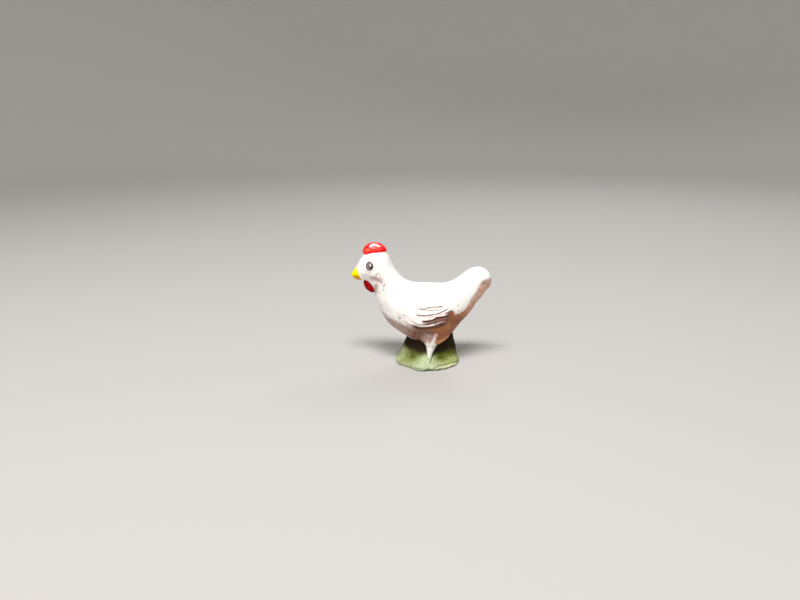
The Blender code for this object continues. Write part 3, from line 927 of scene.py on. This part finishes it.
bm = bmesh.new()
beak_rows = [row for row in smooth_between(BODY_SECTIONS, 6) if row[2] < -12.3]
coil_up(bm, [section_place(*row) for row in beak_rows], points=48)
(top_x, top_z), (low_x, low_z) = BEAK_LINE
along = Vector((low_x - top_x, 0, low_z - top_z)).normalized()
bmesh.ops.bisect_plane(
    bm,
    geom=[*bm.verts, *bm.edges, *bm.faces],
    plane_co=(top_x + TUCKED_IN, 0, top_z),
    plane_no=Vector((0, 1, 0)).cross(along) * -1,
    clear_inner=False,
    clear_outer=True,
)
bmesh.ops.contextual_create(bm, geom=[edge for edge in bm.edges if edge.is_boundary])
bmesh.ops.recalc_face_normals(bm, faces=bm.faces)
beak = knead("beak_paint", bm, grain=0.10, rubs=3)
bm = bmesh.new()
bm.from_mesh(beak.data)
bmesh.ops.subdivide_edges(bm, edges=bm.edges, cuts=1, use_grid_fill=True)
bm.to_mesh(beak.data)
bm.free()
places, normals = surface(beak)
x, y, z = places.T
from_mouth = z - MOUTH_HEIGHT - 0.05 * lumps(places, 0.5, 31)
mouth = bell(from_mouth, MOUTH_HALF_WIDTH) * ease(-14.72, -14.45, x) * ease(0.15, 0.4, np.abs(y))
mouth *= 1 - ease(-13.80, -13.62, x)
relief = COAT_PROUD + uneven(places, CLAY_LUMPS) + 0.010 * lumps(places, 0.35, 33)
relief -= MOUTH_DEEP * mouth
places += normals * relief[:, None]
tuck = 1 - ROOT_NARROWS * ease(0.0, 0.4, behind_beak(x, z))
places[:, 1] *= tuck
places[:, 2] = ROOT_MIDDLE + (places[:, 2] - ROOT_MIDDLE) * tuck
move_to(beak, places)
mask(beak, "mouth", mouth)
mask(beak, "under", 1 - ease(17.5, 18.3, z))
mask(beak, "root", 0.85 * ease(18.8, 19.6, z) * ease(-14.65, -13.95, x))

# Thick acrylic yellow with a satin skin, painted a darker, warmer amber towards the bottom.
yellow, tree, shader, place = new_paint("satin_yellow_acrylic", roughness=0.42)
shader.inputs["Specular IOR Level"].default_value = 0.06
colour = lay_coats(
    tree,
    "FFF200",
    (mottle(tree, place, 0.9, 0.38, 0.64), "FBE400"),
    ("under", "E39A00"),
    ("mouth", "5E2A04"),
    ("root", "FAF5C8"),
)
tree.links.new(colour, shader.inputs["Base Color"])
roughen(tree, shader, place, ((0.3, 0.015),))
finish_piece(beak, "yellow_paint", yellow, "beak")

# The comb
# A low rounded crest pressed with the crown, without points, bulging past the forehead. It has a
# thick glossy red coat, laid on in strokes along its length.

bm = bmesh.new()
bmesh.ops.create_uvsphere(
    bm,
    u_segments=96,
    v_segments=64,
    radius=1,
    matrix=Matrix.Translation(COMB_CENTRE) @ Matrix.Diagonal((*COMB_HALF_SIZE, 1)),
)
comb = knead("comb_paint", bm, grain=0.10, rubs=2)

# It gets slimmer towards its ridge, and the paint ends at a line round it, where it goes into the
# head. A shallow furrow runs along its side.
COMB_LINE = ((-13.0, 22.05), (-12.2, 22.16), (-10.5, 22.46), (-9.4, 22.64), (-8.2, 22.72))
COMB_LUMPS = ((0.07, 1.4, 42), (0.03, 0.7, 43))
FURROW_DEEP = 0.07
SUNK_BELOW_LINE = 0.40
SUNK_AT_FRONT = 0.22
places, normals = surface(comb)
x, y, z = places.T
strokes = lumps(places * (0.20, 1.0, 1.0), 0.40, 41)
above_line = past(COMB_LINE, x, z)
relief = uneven(places, COMB_LUMPS)
from_furrow = z - 23.25 - 0.10 * (x + 10.5)
relief -= FURROW_DEEP * bell(from_furrow, 0.26) * ease(-12.4, -11.6, x) * (1 - ease(-9.8, -8.9, x))
relief -= SUNK_BELOW_LINE * (1 - ease(-0.14, 0.05, above_line))
relief -= SUNK_AT_FRONT * (1 - ease(0.0, 0.7, above_line)) * (1 - ease(-12.9, -12.2, x))
places += normals * relief[:, None]

places = press_comb(places, PRESSED_DEEP)
places += normals * (0.012 * strokes + 0.008 * lumps(places, 0.5, 44))[:, None]
move_to(comb, places)

# The red is thin where bristles parted. Its front end and one streak along its side are painted
# paler, as painted highlights.
SHEEN_STREAK = ((-12.2, 23.10), (-11.6, 23.34), (-11.0, 23.40))
bristles = np.clip(1.8 * strokes - 0.30, 0, 1) * ease(0.3, 0.7, above_line)
front_sheen = 0.5 * ease(-12.3, -12.9, x)
patchy = np.clip(0.9 + 1.4 * lumps(places, 0.3, 45), 0, 1.5)
sheen_streak = bell(near_line(SHEEN_STREAK, x, z)[0], 0.13) * patchy
mask(comb, "thin_red_and_sheen", bristles + front_sheen + sheen_streak)

# Glossy acrylic red: a hard shine that breaks up along the brush strokes.
red, tree, shader, place = new_paint("glossy_red_acrylic", roughness=0.38)
shader.inputs["Specular IOR Level"].default_value = 0.3
shader.inputs["Coat Weight"].default_value = 0.65
shader.inputs["Coat Roughness"].default_value = 0.18
colour = lay_coats(
    tree, "DC000A", (mottle(tree, place, 1.2, 0.35, 0.65), "EE0410"), ("thin_red_and_sheen", "FF6650")
)
tree.links.new(colour, shader.inputs["Base Color"])
roughen(tree, shader, place, ((0.35, 0.02), (0.15, 0.006)))
finish_piece(comb, "red_paint", red, "comb")

# The wattles
# Two drops of clay pressed flat against the throat under the beak, touching each other, in the
# comb's red but dark, which is partly painted shade for their place under the beak, with a single
# thin coat.

# Front edge x and z, rear edge x and z, and half depth of each drop's sections, top first.
WATTLE_SECTIONS = (
    (-12.50, 17.05, -11.80, 17.10, 0.25),
    (-12.84, 16.62, -11.20, 16.75, 0.62),
    (-12.74, 15.95, -10.84, 16.05, 0.78),
    (-12.34, 15.25, -10.62, 15.35, 0.76),
    (-11.84, 14.78, -10.62, 14.82, 0.56),
    (-11.40, 14.50, -10.84, 14.48, 0.22),
)
WATTLE_OUT = 0.55
FAR_WATTLE_SHARE = 0.95
WATTLE_LUMPS = ((0.05, 0.9, 51), (0.02, 0.4, 52))
bm = bmesh.new()
for side, share in ((NEAR, 1.0), (FAR, FAR_WATTLE_SHARE)):
    coil_up(
        bm,
        [
            Matrix.Translation((0, side * WATTLE_OUT, 0)) @ section_place(*row[:4], share * row[4])
            for row in smooth_between(WATTLE_SECTIONS, 4)
        ],
        points=32,
    )
wattles = knead("wattles_paint", bm, grain=0.08, rubs=3)
places, normals = surface(wattles)
places += normals * uneven(places, WATTLE_LUMPS)[:, None]
move_to(wattles, places)

# The comb's acrylic, darker, partly as painted shade, and thinner, so it dries to a dull satin.
dark_red, tree, shader, place = new_paint("dark_red_acrylic", roughness=0.5)
shader.inputs["Specular IOR Level"].default_value = 0.1
colour = lay_coats(tree, "7E0003", (mottle(tree, place, 0.8, 0.38, 0.62), "9A0207"))
tree.links.new(colour, shader.inputs["Base Color"])
roughen(tree, shader, place, ((0.3, 0.02),))
finish_piece(wattles, "red_paint", dark_red, "wattles")

# The eyes
# Each is drawn with a fine brush in thinned sepia over the white: an oval outline, a filled pupil
# with a speck of white left in it, a light crescent before it, and a faint brow.

# Each eye's patch of paint, in millimetres from the eye's middle, and the spacing of its mesh.
PATCH_HALF_SIZE = (1.12, 1.22)
PATCH_MIDDLE = (0.24, 0.14)
PATCH_GRAIN = 0.03
PATCH_DEEP = 0.30
PATCH_PROUD = 0.005
PATCH_EDGE_SUNK = 0.022
INK_THICK = 0.020


def brushed(points, width, strength, px, pz, tremble):
    """A stroke that starts and ends thinner, as a loaded brush leaves it."""
    far, along = near_line(points, px, pz)
    half = width / 2 * np.sin(np.pi * (0.12 + 0.78 * along)) ** 0.6 * (1 + 0.5 * tremble)
    return strength * (1 - ease(half - 0.035, half + 0.035, far))


def oval(middle_x, middle_z, half_x, half_z, start, end, steps=14):
    """Points along an oval from one angle to another, in degrees from the rear."""
    angles = [math.radians(start + (end - start) * i / steps) for i in range(steps + 1)]
    return [(middle_x + half_x * math.cos(a), middle_z + half_z * math.sin(a)) for a in angles]


# Each stroke's points from the eye's middle, its width and how dark it is: the two sides of the
# ring, its top, the crescent, the brow and a stray touch behind it.
STROKES = (
    (oval(0.02, -0.03, 0.57, 0.76, 88, 276), 0.35, 0.95),
    (oval(0.02, -0.03, 0.58, 0.76, 262, 448), 0.21, 0.90),
    (((-0.12, 0.80), (0.00, 0.60), (0.10, 0.42)), 0.32, 0.95),
    (oval(0.16, -0.06, 0.45, 0.59, 112, 250), 0.17, 0.90),
    (((0.10, 0.86), (0.34, 1.08), (0.72, 1.19), (1.14, 1.06)), 0.15, 0.55),
    (((0.84, -0.12), (0.94, -0.22), (0.90, -0.36)), 0.20, 0.35),
)
# Middle and half size of the ring, which has a thin wash inside it, of the pupil and of the glint.
RING = (0.02, -0.03, 0.58, 0.76)
RING_WASH = 0.42
PUPIL = (0.20, -0.10, 0.42, 0.60)
GLINT = (0.11, 0.15, 0.14, 0.20)


def within(place_and_size, px, pz, soft):
    """1 inside an oval and 0 outside it, with a soft border."""
    middle_x, middle_z, half_x, half_z = place_and_size
    reach = np.hypot((px - middle_x) / half_x, (pz - middle_z) / half_z)
    return 1 - ease(1 - soft, 1 + soft, reach)


skin = bmesh.new()
skin.from_mesh(body.data)
skin.transform(Matrix.Scale(1 / MM, 4))
head_tree = BVHTree.FromBMesh(skin)
skin.free()

# The brushwork lies on the same white, which the eye's paint repeats under its ink.
sepia = white.copy()
sepia.name = "sepia_brushwork_on_white_paint"
tree = sepia.node_tree
shader = tree.nodes["Principled BSDF"]
place = next(node for node in tree.nodes if node.type == "TEX_COORD").outputs["Object"]
under_ink = shader.inputs["Base Color"].links[0].from_socket
ink = lay_coats(tree, "260F0D", (mottle(tree, place, 0.30, 0.35, 0.65), "4A2C29"))
colour = lay_coats(tree, under_ink, ("ink", ink), ("glint", "FFFFFF"))
tree.links.new(colour, shader.inputs["Base Color"])

for name, side in (("left", NEAR), ("right", FAR)):
    bm = bmesh.new()
    bmesh.ops.create_grid(
        bm,
        x_segments=round(2 * PATCH_HALF_SIZE[0] / PATCH_GRAIN),
        y_segments=round(2 * PATCH_HALF_SIZE[1] / PATCH_GRAIN),
        size=1,
        matrix=Matrix.Translation((EYE[0] + PATCH_MIDDLE[0], 0, EYE[1] + PATCH_MIDDLE[1]))
        @ Matrix.Rotation(math.radians(90), 4, "X")
        @ Matrix.Diagonal((*PATCH_HALF_SIZE, 1, 1)),
    )
    # The patch is laid against the head from well outside it, and given its depth inwards.
    for vert in bm.verts:
        hit = head_tree.ray_cast(Vector((vert.co.x, side * 8, vert.co.z)), Vector((0, -side, 0)))[0]
        vert.co.y = hit.y - side * PATCH_DEEP
    made = bmesh.ops.extrude_face_region(bm, geom=bm.faces[:])["geom"]
    front = [part for part in made if isinstance(part, bmesh.types.BMVert)]
    for vert in front:
        vert.co.y += side * PATCH_DEEP
    bmesh.ops.recalc_face_normals(bm, faces=bm.faces)
    bm.verts.index_update()
    is_front = np.zeros(len(bm.verts), bool)
    is_front[[vert.index for vert in front]] = True
    mesh = bpy.data.meshes.new(f"eye_brushwork_{name}")
    bm.to_mesh(mesh)
    bm.free()
    eye = bpy.data.objects.new(f"eye_brushwork_{name}", mesh)
    bpy.context.scene.collection.objects.link(eye)
    places, normals = surface(eye)
    px = places[:, 0] - EYE[0]
    pz = places[:, 2] - EYE[1]
    tremble = lumps(places, 0.28, 62)
    ink_mask = np.maximum.reduce([
        *(brushed(points, width, strength, px, pz, tremble) for points, width, strength in STROKES),
        within(PUPIL, px, pz, 0.12),
        RING_WASH * within(RING, px, pz, 0.10),
    ])
    glint = within(GLINT, px, pz, 0.16)
    ink_mask *= 1 - glint
    rim = np.maximum(
        np.abs(px - PATCH_MIDDLE[0]) / PATCH_HALF_SIZE[0],
        np.abs(pz - PATCH_MIDDLE[1]) / PATCH_HALF_SIZE[1],
    )
    sunk = PATCH_EDGE_SUNK * ease(0.74, 1.0, rim)
    lift = PATCH_PROUD - sunk + INK_THICK * np.clip(ink_mask + glint, 0, 1)
    places[:, 1] += side * lift * is_front
    move_to(eye, places)
    mask(eye, "ink", ink_mask * (1.0 + 0.15 * lumps(places, 0.2, 61)))
    mask(eye, "glint", glint)
    finish_piece(eye, "eye_paint", sepia, f"eye_{name}")

# The studio
# A pale seamless sweep curves up all round, under one high soft light from the left front, with a
# low reflector beside it, a wide lamp behind and an even sky.

# Radius and height of the sweep's profile, in metres.
SWEEP = ((0.00, 0.00), (0.42, 0.00), (0.55, 0.03), (0.64, 0.12), (0.67, 0.26), (0.68, 0.50))
bm = bmesh.new()
profile = [bm.verts.new((radius, 0, height)) for radius, height in smooth_between(SWEEP, 6)]
edges = [bm.edges.new(pair) for pair in zip(profile, profile[1:])]
bmesh.ops.spin(
    bm,
    geom=[*profile, *edges],
    cent=(0, 0, 0),
    axis=(0, 0, 1),
    angle=math.tau,
    steps=96,
    use_merge=True,
)
bmesh.ops.remove_doubles(bm, verts=bm.verts, dist=1e-5)
bmesh.ops.recalc_face_normals(bm, faces=bm.faces)
if sum(face.normal.z * face.calc_area() for face in bm.faces) < 0:
    bmesh.ops.reverse_faces(bm, faces=bm.faces)
mesh = bpy.data.meshes.new("sweep")
bm.to_mesh(mesh)
bm.free()
mesh.shade_smooth()
sweep = bpy.data.objects.new("sweep", mesh)
bpy.context.scene.collection.objects.link(sweep)
# Uncoated paper, quite matt, so that light falls off over it without a shine.
paper, _, shader, _ = new_paint("pale_studio_paper", roughness=0.9)
shader.inputs["Base Color"].default_value = linear("BDBBB8")
mesh.materials.append(paper)

# Each light's name, place and width in metres, watts, colour, and whether it shows in a gloss. Each
# is wider than it is tall, and aimed at the middle of the hen.
LAMPS = (
    ("softbox", (-0.045, -0.225, 0.445), 0.24, 2.65, (1.0, 0.985, 0.97), True),
    ("reflector", (-0.22, -0.38, 0.15), 0.40, 0.5, (1.0, 0.96, 0.93), False),
    ("back_lamp", (0.14, 0.34, 0.34), 0.36, 0.6, (0.97, 0.98, 1.0), True),
)
LAMP_TALL = 0.45
HEN_MIDDLE = Vector((0, 0, 12 * MM))
SKY_COLOUR = (1.0, 0.98, 0.96, 1.0)
SKY_STRENGTH = 0.26

for name, place, wide, watts, warmth, glints in LAMPS:
    lamp = bpy.data.lights.new(name, "AREA")
    lamp.shape = "RECTANGLE"
    lamp.size = wide
    lamp.size_y = wide * LAMP_TALL
    lamp.energy = watts
    lamp.color = warmth
    lit = bpy.data.objects.new(name, lamp)
    bpy.context.scene.collection.objects.link(lit)
    lit.visible_glossy = glints
    lit.visible_camera = False
    lit.location = place
    lit.rotation_euler = (HEN_MIDDLE - Vector(place)).to_track_quat("-Z", "Y").to_euler()
world = bpy.data.worlds.new("sky")
world.use_nodes = True
world.node_tree.nodes["Background"].inputs["Color"].default_value = SKY_COLOUR
world.node_tree.nodes["Background"].inputs["Strength"].default_value = SKY_STRENGTH
bpy.context.scene.world = world
bpy.context.scene.view_settings.view_transform = "Standard"

# The camera is about 12 cm from the hen, square to its left side and looking 16 degrees down, with
# a phone's field of view.
PHOTO_WIDTH = 800
FOCAL_PIXELS = 604
PHONE_PLACE = Vector((-5.65, -115.8, 45.95))
LOOKS_DOWN = 16
camera = bpy.data.cameras.new("phone")
camera.sensor_width = 36
camera.lens = camera.sensor_width * FOCAL_PIXELS / PHOTO_WIDTH
camera.clip_start = 0.005
phone = bpy.data.objects.new("phone", camera)
bpy.context.scene.collection.objects.link(phone)
phone.location = PHONE_PLACE * MM
phone.rotation_euler = (math.radians(90 - LOOKS_DOWN), 0, 0)
bpy.context.scene.camera = phone
